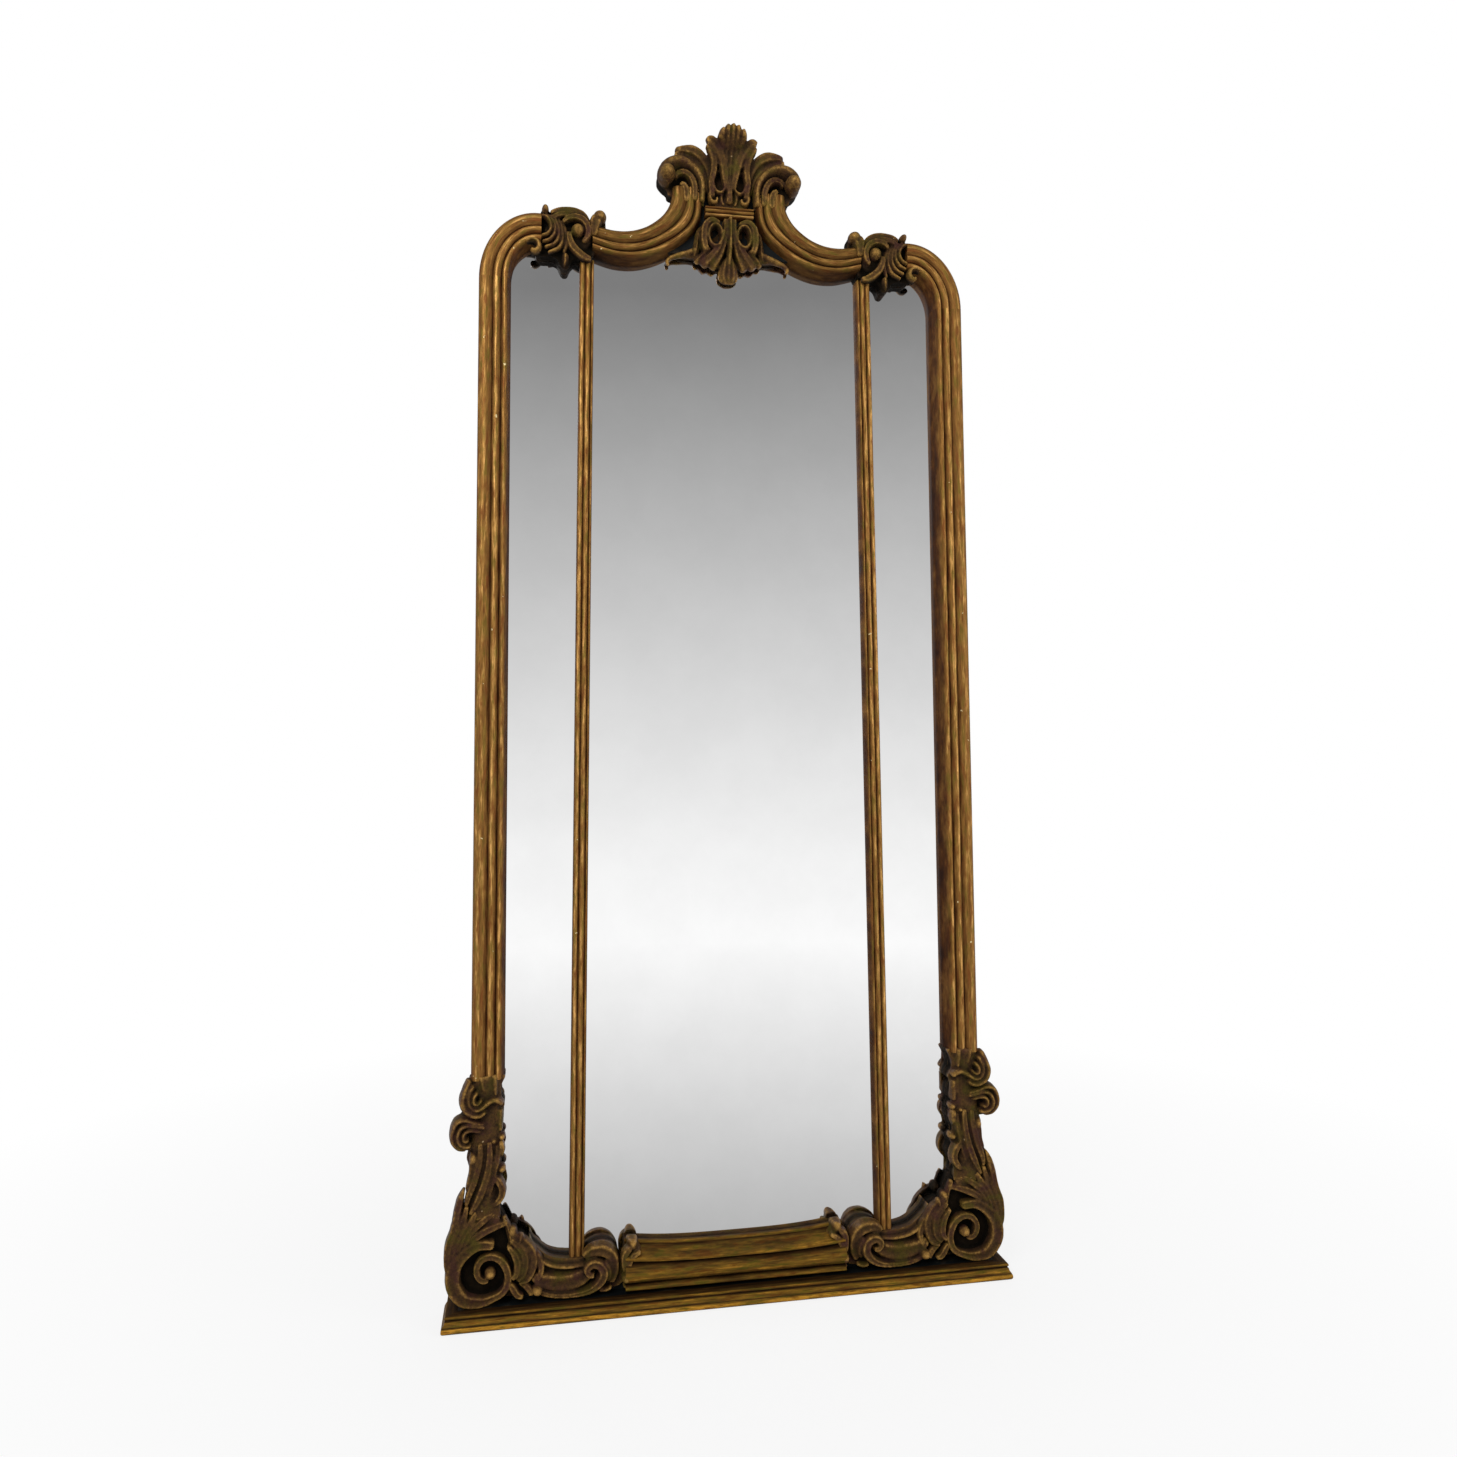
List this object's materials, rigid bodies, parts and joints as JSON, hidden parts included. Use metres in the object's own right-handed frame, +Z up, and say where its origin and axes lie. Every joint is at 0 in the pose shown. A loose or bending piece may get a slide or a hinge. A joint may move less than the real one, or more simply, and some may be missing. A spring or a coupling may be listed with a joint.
{
  "type": "trumeau mirror",
  "caption": "Standing trumeau mirror: upright mirror plates in a carved giltwood frame with rounded shoulders, scroll arms, palmette crest and moulded plinth.",
  "frame": {"origin": "middle of the box's underside, at the floor", "axes": "+Z up, the mirror faces -Y, +X to the right as seen from the front"},
  "size_m": [0.996, 0.108, 2.1],
  "materials": {
    "gilt_moulding": "worn bronze-toned gilding over gesso",
    "gilt_carving": "dark patinated bronze gilding over carved gesso",
    "black_paint": "worn black paint",
    "silvered_glass": "polished silvered plate",
    "carcass_wood": "planed pine, aged",
    "back_boards": "sawn pine boards, aged"
  },
  "bodies": {
    "root": {"left_upright_moulding": "gilt_moulding", "right_upright_moulding": "gilt_moulding", "left_corner_moulding": "gilt_moulding", "right_corner_moulding": "gilt_moulding", "left_scroll_arm": "gilt_moulding", "right_scroll_arm": "gilt_moulding", "left_shoulder_ornament": "gilt_carving", "right_shoulder_ornament": "gilt_carving", "left_mirror_plate": "silvered_glass", "right_mirror_plate": "silvered_glass", "left_stile": "carcass_wood", "right_stile": "carcass_wood", "left_muntin": "carcass_wood", "right_muntin": "carcass_wood", "left_outer_glazing_bead": "carcass_wood", "right_outer_glazing_bead": "carcass_wood", "left_inner_glazing_bead": "carcass_wood", "right_inner_glazing_bead": "carcass_wood", "left_centre_glazing_bead": "carcass_wood", "right_centre_glazing_bead": "carcass_wood", "left_backboard": "back_boards", "right_backboard": "back_boards", "left_pilaster": "gilt_moulding", "right_pilaster": "gilt_moulding", "left_foot_scroll": "gilt_carving", "right_foot_scroll": "gilt_carving", "left_husk_leaf": "gilt_carving", "right_husk_leaf": "gilt_carving", "left_volute": "gilt_carving", "right_volute": "gilt_carving", "left_stem_leaf": "gilt_carving", "right_stem_leaf": "gilt_carving", "left_collar": "gilt_carving", "right_collar": "gilt_carving", "left_plinth_return": "gilt_moulding", "right_plinth_return": "gilt_moulding", "crest_panel": "black_paint", "crest_bar": "gilt_moulding", "crest_leaf": "gilt_carving", "pendant_leaf": "gilt_carving", "centre_mirror_plate": "silvered_glass", "bottom_rail": "carcass_wood", "top_rail": "carcass_wood", "centre_backboard": "back_boards", "base_panel": "black_paint", "base_rail_moulding": "gilt_moulding", "plinth_board": "black_paint", "plinth_front_moulding": "gilt_moulding"}
  },
  "joints": []
}
